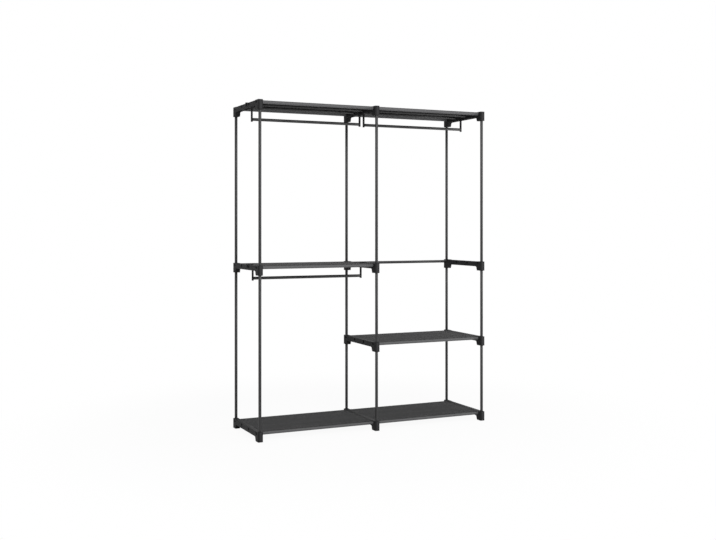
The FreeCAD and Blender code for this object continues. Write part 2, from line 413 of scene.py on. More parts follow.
def stood_on_points(tree, points, shape, out, sink):
    """Instances of a round shape on points, along each point's facing attribute.

    A shape stands out of its point by one length and is sunk behind it by another."""
    lift = tree.math("MULTIPLY", tree.math("SUBTRACT", out, sink), 0.5)
    shift = tree.add("ShaderNodeCombineXYZ", Z=lift)
    lifted = tree.add("GeometryNodeTransform", Geometry=shape, Translation=shift.outputs["Vector"])
    facing = tree.add("GeometryNodeInputNamedAttribute", {"data_type": "FLOAT_VECTOR"},
                      Name="facing")
    turn = tree.add("FunctionNodeAlignRotationToVector", {"axis": "Z"},
                    Vector=facing.outputs["Attribute"])
    placed = tree.add("GeometryNodeInstanceOnPoints", Points=points,
                      Instance=lifted.outputs["Geometry"], Rotation=turn.outputs["Rotation"])
    return placed.outputs["Instances"]


def ring_tree():
    """A ring on each point that stands out along the point's facing attribute."""
    group, tree, given = geometry_group("Socket Rim", {
        "Geometry": GEOMETRY, "Inner Radius": FLOAT, "Wall": FLOAT, "Stand Out": FLOAT,
        "Sink": FLOAT, "Rim Radius": FLOAT, "Sides": COUNT,
    })
    radius = tree.math("MULTIPLY_ADD", given["Wall"], 0.5, given["Inner Radius"])
    height = tree.math("ADD", given["Stand Out"], given["Sink"])
    ring = hoop(tree, radius, given["Wall"], height, given["Rim Radius"], given["Sides"])
    rings = stood_on_points(tree, given["Geometry"], ring, given["Stand Out"], given["Sink"])
    close_geometry(tree, rings, given["Material"])
    return group


def plug_tree():
    """A cylinder on each point, sunk by Depth against the point's facing attribute."""
    group, tree, given = geometry_group("Socket Plug", {
        "Geometry": GEOMETRY, "Radius": FLOAT, "Depth": FLOAT, "Stand Out": FLOAT,
        "Sides": COUNT,
    })
    height = tree.math("ADD", given["Stand Out"], given["Depth"])
    plug = tree.add("GeometryNodeMeshCylinder", Vertices=given["Sides"], Radius=given["Radius"],
                    Depth=height)
    plugs = stood_on_points(tree, given["Geometry"], plug.outputs["Mesh"], given["Stand Out"],
                            given["Depth"])
    close_geometry(tree, plugs, given["Material"])
    return group


def rib_tree():
    """An upright rib with rounded ends on each point, half sunk in the face behind it."""
    group, tree, given = geometry_group("Block Rib", {
        "Geometry": GEOMETRY, "Width": FLOAT, "Stand Out": FLOAT, "Height": FLOAT,
        "Sides": COUNT,
    })
    ball = tree.add("GeometryNodeMeshUVSphere", Segments=given["Sides"], Rings=RIB_RINGS,
                    Radius=1.0)
    place = tree.add("GeometryNodeInputPosition").outputs["Position"]
    part = tree.add("ShaderNodeSeparateXYZ", Vector=place).outputs
    half_width = tree.math("MULTIPLY", given["Width"], 0.5)
    half_height = tree.math("MULTIPLY", given["Height"], 0.5)
    straight = tree.math("SUBTRACT", half_height, given["Stand Out"])
    spread = tree.math("MULTIPLY", tree.math("SIGN", part["Z"]), straight)
    drawn = tree.add("ShaderNodeCombineXYZ", X=tree.math("MULTIPLY", part["X"], half_width),
                     Y=tree.math("MULTIPLY", part["Y"], given["Stand Out"]),
                     Z=tree.math("MULTIPLY_ADD", part["Z"], given["Stand Out"], spread))
    rib = tree.add("GeometryNodeSetPosition", Geometry=ball.outputs["Mesh"],
                   Position=drawn.outputs["Vector"])
    ribs = tree.add("GeometryNodeInstanceOnPoints", Points=given["Geometry"],
                    Instance=rib.outputs["Geometry"])
    close_geometry(tree, ribs.outputs["Instances"], given["Material"])
    return group


def stitch_tree():
    """Stitches along the edges of a mesh, one every Pitch."""
    group, tree, given = geometry_group("Stitches", {
        "Geometry": GEOMETRY, "Pitch": FLOAT, "Length": FLOAT, "Thread": FLOAT,
    })
    curve = tree.add("GeometryNodeMeshToCurve", Mesh=given["Geometry"])
    spaced = tree.add("GeometryNodeResampleCurve", {"mode": "LENGTH"},
                      Curve=curve.outputs["Curve"], Length=given["Pitch"])
    bead = tree.add("GeometryNodeMeshUVSphere", Segments=STITCH_SIDES, Rings=STITCH_RINGS,
                    Radius=0.5)
    size = tree.add("ShaderNodeCombineXYZ", X=given["Length"], Y=given["Thread"],
                    Z=given["Thread"])
    tangent = tree.add("GeometryNodeInputTangent")
    turn = tree.add("FunctionNodeAlignRotationToVector", {"axis": "X"},
                    Vector=tangent.outputs["Tangent"])
    row = tree.add("GeometryNodeInstanceOnPoints", Points=spaced.outputs["Curve"],
                   Instance=bead.outputs["Mesh"], Rotation=turn.outputs["Rotation"],
                   Scale=size.outputs["Vector"])
    close_geometry(tree, row.outputs["Instances"], given["Material"])
    return group


# Finishes


def grain_group():
    """Fine relief of a surface, and a slow change of tone across it."""
    group, tree, given = new_group("Fine Grain", "ShaderNodeTree",
                                   {"Scale": FLOAT, "Tone Scale": FLOAT},
                                   {"Height": FLOAT, "Tone": FLOAT})
    place = tree.add("ShaderNodeTexCoord").outputs["Object"]
    tree.add("NodeGroupOutput",
             Height=tree.cloud(place, given["Scale"], detail=3.0, roughness=0.55),
             Tone=tree.cloud(place, given["Tone Scale"], detail=4.0, roughness=0.6))
    return group


def dust_group():
    """Dust that settles in patches where a surface faces up."""
    group, tree, given = new_group("Settled Dust", "ShaderNodeTree",
                                   {**SURFACE, "Dust Color": COLOUR, "Amount": FLOAT}, SURFACE)
    place = tree.add("ShaderNodeTexCoord").outputs
    up = tree.add("ShaderNodeSeparateXYZ", Vector=place["Normal"]).outputs["Z"]
    level = tree.ramp(up, low=0.35, high=0.98, course="SMOOTHSTEP")
    cloud = tree.cloud(place["Object"], scale=60.0, detail=6.0, roughness=0.7)
    patches = tree.ramp(cloud, low=0.35, high=0.75)
    share = tree.math("MULTIPLY", tree.math("MULTIPLY", level, patches), given["Amount"])
    tree.add("NodeGroupOutput", Color=tree.mixed(share, given["Color"], given["Dust Color"]),
             Roughness=tree.math("MULTIPLY_ADD", share, 0.6, given["Roughness"]))
    return group


def rub_and_highlight_group():
    """Edges rubbed by handling, where the rub attribute of a piece is high; where it is set high
    all over a rib, the lighter rub colour is a painted highlight.
    """
    group, tree, given = new_group(
        "Rubbed Edges and Painted Highlight", "ShaderNodeTree",
        {**SURFACE, "Rub Color": COLOUR, "Gloss": FLOAT, "Amount": FLOAT}, SURFACE)
    edge = tree.add("ShaderNodeAttribute", {"attribute_name": "rub_and_highlight"}).outputs["Fac"]
    place = tree.add("ShaderNodeTexCoord").outputs["Object"]
    cloud = tree.cloud(place, scale=130.0, detail=5.0, roughness=0.65)
    patches = tree.ramp(cloud, low=0.3, high=0.7)
    worn_and_highlit = tree.math("MINIMUM", tree.math("MULTIPLY", edge, patches), 1.0)
    share = tree.math("MULTIPLY", worn_and_highlit, given["Amount"])
    drop = tree.math("MULTIPLY", share, given["Gloss"])
    tree.add("NodeGroupOutput", Color=tree.mixed(share, given["Color"], given["Rub Color"]),
             Roughness=tree.math("SUBTRACT", given["Roughness"], drop))
    return group


def shared_group(name, build):
    """A node group, built the first time that it is asked for."""
    return bpy.data.node_groups.get(name) or build()


def rgba(colour):
    return (*colour, 1.0)


def new_material(name, **constants):
    """A material, with the values that are the same all over set on its shader's sockets."""
    material = bpy.data.materials.new(name)
    material.use_nodes = True
    shader = material.node_tree.nodes["Principled BSDF"]
    for label, value in constants.items():
        shader.inputs[label.replace("_", " ")].default_value = value
    return material, Tree(material.node_tree), shader


def placed_group(tree, name, build, **inputs):
    """The outputs of a shared group, placed with its own values."""
    node = tree.add("ShaderNodeGroup", {"node_tree": shared_group(name, build)})
    for label, value in inputs.items():
        tree.feed(node.inputs[label.replace("_", " ")], value)
    return node.outputs


def toned(tree, tone, colour, low, high):
    """A colour that gets darker and lighter with a slow tone."""
    dark, light = (rgba(share * part for part in colour) for share in (low, high))
    return tree.mixed(tone, dark, light)


def dusted(tree, shader, finishes, colour, rough, amount):
    """Feeds a colour and a roughness to the shader, under settled dust."""
    dusty = placed_group(tree, "Settled Dust", dust_group, Color=colour, Roughness=rough,
                         Dust_Color=rgba(finishes.dust), Amount=amount)
    tree.feed(shader.inputs["Base Color"], dusty["Color"])
    tree.feed(shader.inputs["Roughness"], dusty["Roughness"])


def raised(tree, shader, height, strength, distance):
    """Feeds a height to the shader's normal through a bump."""
    bump = tree.add("ShaderNodeBump", Strength=strength, Distance=distance, Height=height)
    tree.feed(shader.inputs["Normal"], bump.outputs["Normal"])


def coat_material(finishes):
    """Satin black powder coat with the orange peel of a baked finish."""
    material, tree, shader = new_material("Powder Coat", Specular_IOR_Level=0.45)
    grain = placed_group(tree, "Fine Grain", grain_group, Scale=1300.0, Tone_Scale=14.0)
    colour = toned(tree, grain["Tone"], finishes.coat, low=0.95, high=1.05)
    rough = tree.math("MULTIPLY_ADD", grain["Tone"], 0.06, 0.45)
    dusted(tree, shader, finishes, colour, rough, amount=0.02)
    raised(tree, shader, grain["Height"], strength=0.03, distance=0.25 * MM)
    return material


def plastic_material(finishes):
    """Black moulded plastic with a fine spark-eroded grain."""
    material, tree, shader = new_material("Moulded Plastic", Specular_IOR_Level=0.04)
    grain = placed_group(tree, "Fine Grain", grain_group, Scale=2600.0, Tone_Scale=22.0)
    colour = toned(tree, grain["Tone"], finishes.plastic, low=0.8, high=1.2)
    rough = tree.math("MULTIPLY_ADD", grain["Tone"], 0.12, 0.48)
    # Lighter rubbed edges, and the painted highlight all over the ribs
    rubbed_and_highlit = placed_group(tree, "Rubbed Edges and Painted Highlight", rub_and_highlight_group, Color=colour, Roughness=rough,
                          Rub_Color=RUB_AND_HIGHLIGHT_COLOUR, Gloss=0.1, Amount=0.35)
    dusted(tree, shader, finishes, rubbed_and_highlit["Color"], rubbed_and_highlit["Roughness"], amount=0.02)
    raised(tree, shader, grain["Height"], strength=0.35, distance=0.12 * MM)
    return material


def fabric_material(finishes):
    """Black non-woven cloth: loose fibres, bonded in a close field of small dimples."""
    material, tree, shader = new_material("Non-woven Fabric", Specular_IOR_Level=0.09,
                                          Sheen_Weight=0.03, Sheen_Roughness=0.45)
    grain = placed_group(tree, "Fine Grain", grain_group, Scale=1800.0, Tone_Scale=30.0)
    lay = tree.add("ShaderNodeUVMap", {"uv_map": "cut"}).outputs["UV"]
    turned = tree.add("ShaderNodeMapping", Vector=lay, Rotation=BOND_TURN, Scale=BONDS)
    bonds = tree.add("ShaderNodeTexVoronoi", Vector=turned.outputs["Vector"], Scale=1.0,
                     Randomness=0.12)
    dimple = tree.ramp(bonds.outputs["Distance"], low=0.14, high=0.4, course="SMOOTHSTEP")
    combed = tree.add("ShaderNodeMapping", Vector=lay, Scale=FIBRES)
    fibres = tree.cloud(combed.outputs["Vector"], scale=1.0, detail=5.0, roughness=0.65,
                        Distortion=1.4)
    tone = tree.math("MULTIPLY_ADD", fibres, 0.7, tree.math("MULTIPLY", dimple, 0.35))
    # Sleeves below their tops take the lighter stretched colour: partly the stretched cloth,
    # mostly a painted highlight
    loose, stretched = (toned(tree, tone, colour, low=0.6, high=1.45)
                        for colour in (finishes.fabric, finishes.sleeve))
    taut_and_highlight = tree.add("ShaderNodeAttribute", {"attribute_name": "taut_and_highlight"}).outputs["Fac"]
    rough = tree.math("ADD", tree.math("MULTIPLY_ADD", grain["Tone"], 0.1, 0.72),
                      tree.math("MULTIPLY", taut_and_highlight, -0.3))
    colour = tree.mixed(taut_and_highlight, loose, stretched)
    dusted(tree, shader, finishes, colour, rough, amount=0.025)
    height = tree.math("MULTIPLY_ADD", fibres, 0.5, dimple)
    raised(tree, shader, height, strength=0.5, distance=0.2 * MM)
    return material


def thread_material(finishes):
    """Twisted polyester thread."""
    material, tree, shader = new_material("Sewing Thread", Roughness=0.6)
    grain = placed_group(tree, "Fine Grain", grain_group, Scale=5000.0, Tone_Scale=90.0)
    colour = toned(tree, grain["Tone"], finishes.thread, low=0.6, high=1.4)
    tree.feed(shader.inputs["Base Color"], colour)
    raised(tree, shader, grain["Height"], strength=0.5, distance=0.1 * MM)
    return material


FINISHES = {
    "Powder Coat": coat_material,
    "Moulded Plastic": plastic_material,
    "Non-woven Fabric": fabric_material,
    "Sewing Thread": thread_material,
}


def finish(name):
    """A finish of the wardrobe, built the first time that it is asked for."""
    made = bpy.data.materials.get(name)
    return made or FINISHES[name](bpy.context.scene.wardrobe_finishes)


# Making pieces


def new_piece(name, mesh):
    piece = bpy.data.objects.new(name, mesh)
    bpy.context.scene.collection.objects.link(piece)
    return piece


def set_inputs(modifier, values):
    """Sets the inputs of a node modifier by the identifiers of their sockets."""
    sockets = {}
    for item in modifier.node_group.interface.items_tree:
        if item.item_type == "SOCKET" and item.in_out == "INPUT":
            sockets[item.name] = item.identifier
    for label, value in values.items():
        modifier[sockets[label]] = value


def settle(piece):
    """Turns a piece with its modifiers into one plain mesh."""
    graph = bpy.context.evaluated_depsgraph_get()
    made = bpy.data.meshes.new_from_object(piece.evaluated_get(graph))
    piece.modifiers.clear()
    before = piece.data
    piece.data = made
    made.name = piece.name
    bpy.data.meshes.remove(before)


def face_out(mesh):
    """Turns the faces of a closed mesh outwards."""
    form = bmesh.new()
    form.from_mesh(mesh)
    bmesh.ops.recalc_face_normals(form, faces=form.faces)
    form.to_mesh(mesh)
    form.free()


def shade(mesh, degrees):
    """Smooth faces, with edges kept crisp past an angle."""
    mesh.polygons.foreach_set("use_smooth", [True] * len(mesh.polygons))
    mesh.set_sharp_from_angle(angle=math.radians(degrees))


def run_tree(piece, tree, values):
    """Runs a tree of geometry nodes on a piece and keeps the result as its mesh."""
    modifier = piece.modifiers.new(tree.name, "NODES")
    modifier.node_group = tree
    set_inputs(modifier, values)
    settle(piece)
    face_out(piece.data)
    shade(piece.data, CRISP_TREE)
    return piece


def from_tree(name, tree, values, points=()):
    """A piece made by a tree of geometry nodes, from points and their facing where given."""
    mesh = bpy.data.meshes.new(name)
    if points:
        mesh.from_pydata([point for point, out in points], [], [])
        facing = mesh.attributes.new("facing", "FLOAT_VECTOR", "POINT")
        facing.data.foreach_set("vector", [part for point, out in points for part in out])
    return run_tree(new_piece(name, mesh), tree, values)


def mark_rub_and_highlight(mesh, least_highlight=0.0):
    """Writes the rub and highlight attribute: high where the faces round a corner turn sharply,
    and never below the least level given, which paints a highlight all over the ribs.
    """
    form = bmesh.new()
    form.from_mesh(mesh)
    form.normal_update()
    rub_and_highlight = []
    for vert in form.verts:
        turn = max((edge.calc_face_angle_signed(0.0) for edge in vert.link_edges), default=0.0)
        rub_and_highlight.append(max(least_highlight, min(1.0, (turn - RUB_FROM) / RUB_SPAN)))
    form.free()
    attribute = mesh.attributes.new("rub_and_highlight", "FLOAT", "POINT")
    attribute.data.foreach_set("value", rub_and_highlight)


def hand_over(piece, body, slot, *nodes):
    """Fixes a piece to its body, in place of the solids that it stands for. Its slot is not used.
    """
    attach(piece, body)
    if nodes:
        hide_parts(*nodes)


def body_of(node):
    """The body of the record that carries a node."""
    for body, members in frame["record"]["behaviour"]["bodies"].items():
        if node in members:
            return body
    raise RuntimeError("no body carries " + node)


def tube_piece(node, tree, axis, count=1):
    """Replaces a straight tube, or a pair of them side by side, at its own place."""
    sizes = bpy.context.scene.wardrobe_tubes
    low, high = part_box(node)
    start, end = low.copy(), low.copy()
    radius = sizes.diameter / 2
    for other in range(3):
        if other != axis:
            start[other] = end[other] = low[other] + radius
    end[axis] = high[axis]
    spacing = Vector((0.0, 0.0, 0.0))
    if count > 1:
        spacing.y = high.y - low.y - sizes.diameter
    piece = from_tree(node + "_coated", tree, {
        "Start": start, "End": end, "Diameter": sizes.diameter, "Wall": sizes.wall,
        "Rim Radius": sizes.rim, "Sides": sizes.sides, "Count": count, "Spacing": spacing,
        "Material": finish("Powder Coat"),
    })
    hand_over(piece, body_of(node), "coated_tube", node)


def merged_copy(node):
    """A copy of a solid's mesh with its corners joined and its flat faces whole."""
    mesh = frame["nodes"][node].data.copy()
    form = bmesh.new()
    form.from_mesh(mesh)
    bmesh.ops.remove_doubles(form, verts=form.verts, dist=MERGE_WITHIN)
    bmesh.ops.dissolve_limit(form, angle_limit=FLAT_WITHIN, verts=form.verts,
                             edges=form.edges)
    bmesh.ops.recalc_face_normals(form, faces=form.faces)
    form.to_mesh(mesh)
    form.free()
    mesh.materials.clear()
    mesh.materials.append(finish("Moulded Plastic"))
    return mesh


def cut_sockets(piece, points):
    """Cuts the sockets that no tube uses into a moulding."""
    plugs = from_tree(piece.name + "_plugs", shared_group("Socket Plug", plug_tree), {
        "Radius": TUBE_RADIUS + SOCKET_PLAY,
        "Depth": bpy.context.scene.wardrobe_moulding.blind_depth,
        "Stand Out": PLUG_OUT, "Sides": SOCKET_SIDES, "Material": finish("Moulded Plastic"),
    }, points)
    cut = piece.modifiers.new("Blind Sockets", "BOOLEAN")
    cut.operation = "DIFFERENCE"
    cut.solver = "EXACT"
    cut.object = plugs
    settle(piece)
    mesh = plugs.data
    bpy.data.objects.remove(plugs)
    bpy.data.meshes.remove(mesh)


def weigh_edges(mesh, keep_crisp):
    """Marks the edges of a moulding that get rounded."""
    form = bmesh.new()
    form.from_mesh(mesh)
    weight = form.edges.layers.float.new("bevel_weight_edge")
    for edge in form.edges:
        turned = edge.is_manifold and edge.calc_face_angle() > ROUNDED_PAST
        if turned and not keep_crisp((edge.verts[0].co + edge.verts[1].co) / 2):
            edge[weight] = 1.0
    form.to_mesh(mesh)
    form.free()


def moulded_piece(node, edge_round, keep_crisp, blind=()):
    """Replaces a moulding by the same form with its edges rounded."""
    piece = new_piece(node + "_moulded", merged_copy(node))
    if blind:
        cut_sockets(piece, blind)
    weigh_edges(piece.data, keep_crisp)
    bevel = piece.modifiers.new("Rounded Edges", "BEVEL")
    bevel.limit_method = "WEIGHT"
    bevel.width = edge_round
    bevel.segments = ROUNDING_STEPS
    bevel.use_clamp_overlap = True
    settle(piece)
    shade(piece.data, CRISP_MOULDING)
    mark_rub_and_highlight(piece.data)
    hand_over(piece, body_of(node), "moulded_plastic", node)


# Where tubes meet the side bars


def bar_name(column, level):
    return "side_bar_%s_%s" % (column, level)


def shelf_rows(tag):
    """Y and Z of the tube axes at a level of a bay, front to rear."""
    places = set()
    for node in node_names("shelf_tube") + node_names("tie_tube"):
        if tag in node:
            low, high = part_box(node)
            height = round((low.z + high.z) / 2, 4)
            places.update((round(y, 4), height)
                          for y in (low.y + TUBE_RADIUS, high.y - TUBE_RADIUS))
    return sorted(places)


def socket_points():
    """Points on the bars' faces where tubes enter, and where a socket is left empty."""
    used, blank = [], []
    rows = shelf_rows("base_left")
    axis_up = rows[0][1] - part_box(bar_name("left", "base"))[0].z
    for bar in node_names("side_bar"):
        column, level = bar.split("_")[2:]
        low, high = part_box(bar)
        for side, face in ((-1.0, low.x), (1.0, high.x)):
            tubes = []
            for bay, (near, far) in BAYS.items():
                if column == (near if side > 0 else far):
                    tubes = [y for y, z in shelf_rows("%s_%s" % (level, bay))]
            for y, z in rows:
                point = (Vector((face, y, low.z + axis_up)), Vector((side, 0.0, 0.0)))
                taken = any(abs(y - tube) < MM for tube in tubes)
                (used if taken else blank).append(point)
    return used, blank


def post_points():
    """Points on the blocks' tops and undersides where posts enter."""
    points = []
    for bar in node_names("side_bar"):
        low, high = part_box(bar)
        for post in node_names("post_" + bar.split("_")[2]):
            middle = centre_of(post)
            foot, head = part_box(post)
            for end, face, out in ((foot.z, high.z, 1.0), (head.z, low.z, -1.0)):
                if low.z < end < high.z:
                    points.append((Vector((middle.x, middle.y, face)), Vector((0.0, 0.0, out))))
    return points


def rib_points():
    """Points in the middle of the blocks' end faces."""
    points = []
    for bar in node_names("side_bar"):
        low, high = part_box(bar)
        middle = centre_of(bar)
        for y, out in ((low.y, -1.0), (high.y, 1.0)):
            points.append((Vector((middle.x, y, middle.z)), Vector((0.0, out, 0.0))))
    return points


# Fabric shelves


class ShelfCloth:
    """The form of one fabric shelf: a sleeve round each edge tube and a panel over the others."""

    def __init__(self, tag, sizes):
        self.sizes = sizes
        low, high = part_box("shelf_fabric_" + tag)
        self.x_low, self.x_high = low.x, high.x
        axes = shelf_rows(tag)
        self.tube_y = [y for y, z in axes]
        self.tube_z = axes[0][1]
        self.radius = (high.y - low.y) / 2 - self.tube_y[-1] - sizes.thickness / 2
        self.top = self.tube_z + self.radius
        step, across, up = RIPPLE_SEED
        self.seed = Vector((SHELVES.index(tag) * step, across, up))
        self.notch_half = self.tube_y[2] - TUBE_RADIUS if tag in RODS else 0.0
        self.rows = self.section()
        self.columns = self.divisions()
        self.runs = [0.0]
        for (_, y0, z0), (_, y1, z1) in zip(self.rows, self.rows[1:]):
            self.runs.append(self.runs[-1] + math.hypot(y1 - y0, z1 - z0))
        self.flat = (self.columns[-1] - self.columns[0], self.runs[-1])

    def from_end(self, x):
        """Distance of a place along the shelf from the nearer end."""
        return min(x - self.x_low, self.x_high - x)

    def panel_z(self, x, y):
        """Height of the panel's middle surface."""
        axes = self.tube_y
        if not axes[0] < y < axes[-1]:
            return self.top
        span = next(i for i in range(len(axes) - 1) if y <= axes[i + 1])
        share = (y - axes[span]) / (axes[span + 1] - axes[span])
        dip = 4 * share * (1 - share)
        slack = 1.0 + END_SLACK * math.exp(-self.from_end(x) / END_REACH)
        place = Vector((x * RIPPLE_ALONG, y * RIPPLE_ACROSS, 0.0)) + self.seed
        ripple = noise.noise(place) + RIPPLE_FINE_SHARE * noise.noise(place * RIPPLE_FINE)
        return self.top - dip * (self.sizes.sag * slack + RIPPLE * ripple)

    def tautness_and_highlight(self, z):
        """How far the cloth of a sleeve is stretched at a height, not at all near its top; the
        same share paints a highlight on the sleeve in a lighter colour.
        """
        above = (z - self.tube_z) / self.radius
        return max(0.0, min(1.0, (TAUT_HIGHLIGHT_FROM - above) / TAUT_HIGHLIGHT_SPAN))

    def sleeve(self):
        """Y and Z of the front sleeve about its tube's axis, from the lap round to the top."""
        seam_y = self.sizes.seam_back
        seam_z = self.radius - SEAM_DROP * self.sizes.thickness
        reach = math.hypot(seam_y, seam_z)
        leave = math.atan2(seam_z, seam_y) - math.acos(self.radius / reach)
        touch = (self.radius * math.cos(leave), self.radius * math.sin(leave))
        points = []
        for i in range(LAP_STEPS + 1):
            points.append((seam_y + self.sizes.lap * (1 - i / LAP_STEPS), seam_z))
        for i in range(1, FLANK_STEPS):
            share = i / FLANK_STEPS
            points.append((seam_y + (touch[0] - seam_y) * share,
                           seam_z + (touch[1] - seam_z) * share))
        for i in range(SLEEVE_STEPS):
            turn = leave + (SLEEVE_TOP - leave) * i / SLEEVE_STEPS
            points.append((self.radius * math.cos(turn), self.radius * math.sin(turn)))
        return points

    def section(self):
        """The cut across the shelf from front lap to rear lap: on a sleeve or not, y, z."""
        sleeve = self.sleeve()
        front = [(True, self.tube_y[0] + y, self.tube_z + z) for y, z in sleeve]
        rear = [(True, self.tube_y[-1] - y, self.tube_z + z) for y, z in reversed(sleeve)]
        panel = {-self.notch_half, self.notch_half} if self.notch_half else set()
        for low, high in zip(self.tube_y, self.tube_y[1:]):
            panel.update(low + (high - low) * i / PANEL_STEPS for i in range(PANEL_STEPS + 1))
        return front + [(False, y, self.top) for y in sorted(panel)] + rear

    def divisions(self):
        """Places along the shelf where the cloth is cut into faces."""
        inner = sorted([0.0, self.sizes.notch] + [self.sizes.hem * line for line in HEM_LINES])
        span = self.x_high - self.x_low
        middle = [inner[-1] + (span - 2 * inner[-1]) * i / COLUMNS for i in range(1, COLUMNS)]
        return [self.x_low + x for x in inner + middle + [span - x for x in reversed(inner)]]

    def mesh(self, name):
        """The middle surface of the cloth, with its flat cut as UV map and its tautness, which
        also masks the painted highlight on the sleeves.
        """
        form = bmesh.new()
        taut_and_highlight = form.verts.layers.float.new("taut_and_highlight")
        cut = form.loops.layers.uv.new("cut")
        grid = []
        for on_sleeve, y, z in self.rows:
            line = []
            for x in self.columns:
                line.append(form.verts.new((x, y, z if on_sleeve else self.panel_z(x, y))))
                line[-1][taut_and_highlight] = self.tautness_and_highlight(z) if on_sleeve else 0.0
            grid.append(line)
        for i, (row, after) in enumerate(zip(self.rows, self.rows[1:])):
            on_panel = not (row[0] or after[0])
            beside_hook = on_panel and abs((row[1] + after[1]) / 2) < self.notch_half
            for j, (left, right) in enumerate(zip(self.columns, self.columns[1:])):
                inset = min(left - self.x_low, self.x_high - right)
                if beside_hook and inset < self.sizes.notch - NOTCH_PLAY:
                    continue
                corners = ((i, j), (i, j + 1), (i + 1, j + 1), (i + 1, j))
                face = form.faces.new([grid[m][n] for m, n in corners])
                for loop, (m, n) in zip(face.loops, corners):
                    loop[cut].uv = (self.columns[n] - self.x_low, self.runs[m])
        loose = [vert for vert in form.verts if not vert.link_faces]
        bmesh.ops.delete(form, geom=loose, context="VERTS")
        form.normal_update()
        mesh = bpy.data.meshes.new(name)
        form.to_mesh(mesh)
        form.free()
        return mesh

    def seam_lines(self):
        """Lines of stitches: one along each sleeve and one along each hem."""
        sizes = self.sizes
        front, rear = self.tube_y[0], self.tube_y[-1]
        lift = sizes.thickness / 2 + sizes.thread * THREAD_SHOWS
        lines = []
        for y in (front + sizes.seam_back, rear - sizes.seam_back):
            lines.append([Vector((x, y, self.panel_z(x, y) + lift)) for x in self.columns[1:-1]])
        lift += sizes.thickness * HEM_RISE
        places = [front + (rear - front) * i / HEM_STEPS for i in range(HEM_STEPS + 1)]
        inset = sizes.hem * HEM_SEAM
        for x in (self.x_low + inset, self.x_high - inset):
            lines.append([Vector((x, y, self.panel_z(x, y) + lift)) for y in places])
        return lines


def stitch_piece(name, lines, tree):
    """Stitches along lines of points."""
    sizes = bpy.context.scene.wardrobe_fabric
    points, edges = [], []
    for line in lines:
        edges += [(len(points) + i, len(points) + i + 1) for i in range(len(line) - 1)]
        points += line
    mesh = bpy.data.meshes.new(name)
    mesh.from_pydata(points, edges, [])
    return run_tree(new_piece(name, mesh), tree, {
        "Pitch": sizes.stitch_pitch, "Length": sizes.stitch, "Thread": sizes.thread,
        "Material": finish("Sewing Thread"),
    })


def cloth_piece(tag, stitches):
    """Replaces a fabric shelf by a sewn sheet with its stitches."""
    sizes = bpy.context.scene.wardrobe_fabric
    node = "shelf_fabric_" + tag
    cloth = ShelfCloth(tag, sizes)
    piece = new_piece(node + "_cloth", cloth.mesh(node + "_cloth"))
    piece.data.materials.append(finish("Non-woven Fabric"))
    hem = piece.vertex_groups.new(name="hem")
    for vert in piece.data.vertices:
        in_hem = cloth.from_end(vert.co.x) < sizes.hem * HEM_END
        hem.add([vert.index], 1.0 if in_hem else SINGLE_LAYER, "REPLACE")
    wall = piece.modifiers.new("Cloth Thickness", "SOLIDIFY")
    wall.thickness = sizes.thickness / SINGLE_LAYER
    wall.offset = 0.0
    wall.vertex_group = hem.name
    wall.use_rim = True
    settle(piece)
    face_out(piece.data)
    shade(piece.data, CRISP_CLOTH)
    row = stitch_piece("shelf_stitches_" + tag, cloth.seam_lines(), stitches)
    hand_over(piece, body_of(node), "shelf_fabric", node)
    hand_over(row, body_of(node), "shelf_fabric")


# Operators


class WARDROBE_OT_tubes(bpy.types.Operator):
    """Make the posts, the shelf tubes and the tie tube"""

    bl_idname = "wardrobe.tubes"
    bl_label = "Posts and Shelf Tubes"

    def execute(self, context):
        tree = shared_group("Coated Tube", tube_tree)
        for node in node_names("post_"):
            tube_piece(node, tree, axis=2)
        for node in node_names("shelf_tube_") + node_names("tie_tube_"):
            tube_piece(node, tree, axis=0)
        for node in node_names("shelf_tubes_"):
            tube_piece(node, tree, axis=0, count=2)
        return {"FINISHED"}


class WARDROBE_OT_side_bars(bpy.types.Operator):
    """Make the moulded side bars"""

    bl_idname = "wardrobe.side_bars"
    bl_label = "Side Bars"

    def execute(self, context):
        sizes = context.scene.wardrobe_moulding
        used, blank = socket_points()
        posts = post_points()

        def in_socket(point):
            for at, out in used + posts:
                deep = (point - at).dot(out)
                beside = (point - at) - out * deep
                if beside.length < TUBE_RADIUS + SOCKET_REACH and abs(deep) < SOCKET_DEPTH:
                    return True
            return False

        for node in node_names("side_bar"):
            low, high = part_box(node)
            middle = centre_of(node)
            blind = [(at, out) for at, out in blank
                     if abs(at.x - middle.x) < high.x - low.x and low.z < at.z < high.z]
            moulded_piece(node, sizes.edge_round, in_socket, blind)
        return {"FINISHED"}


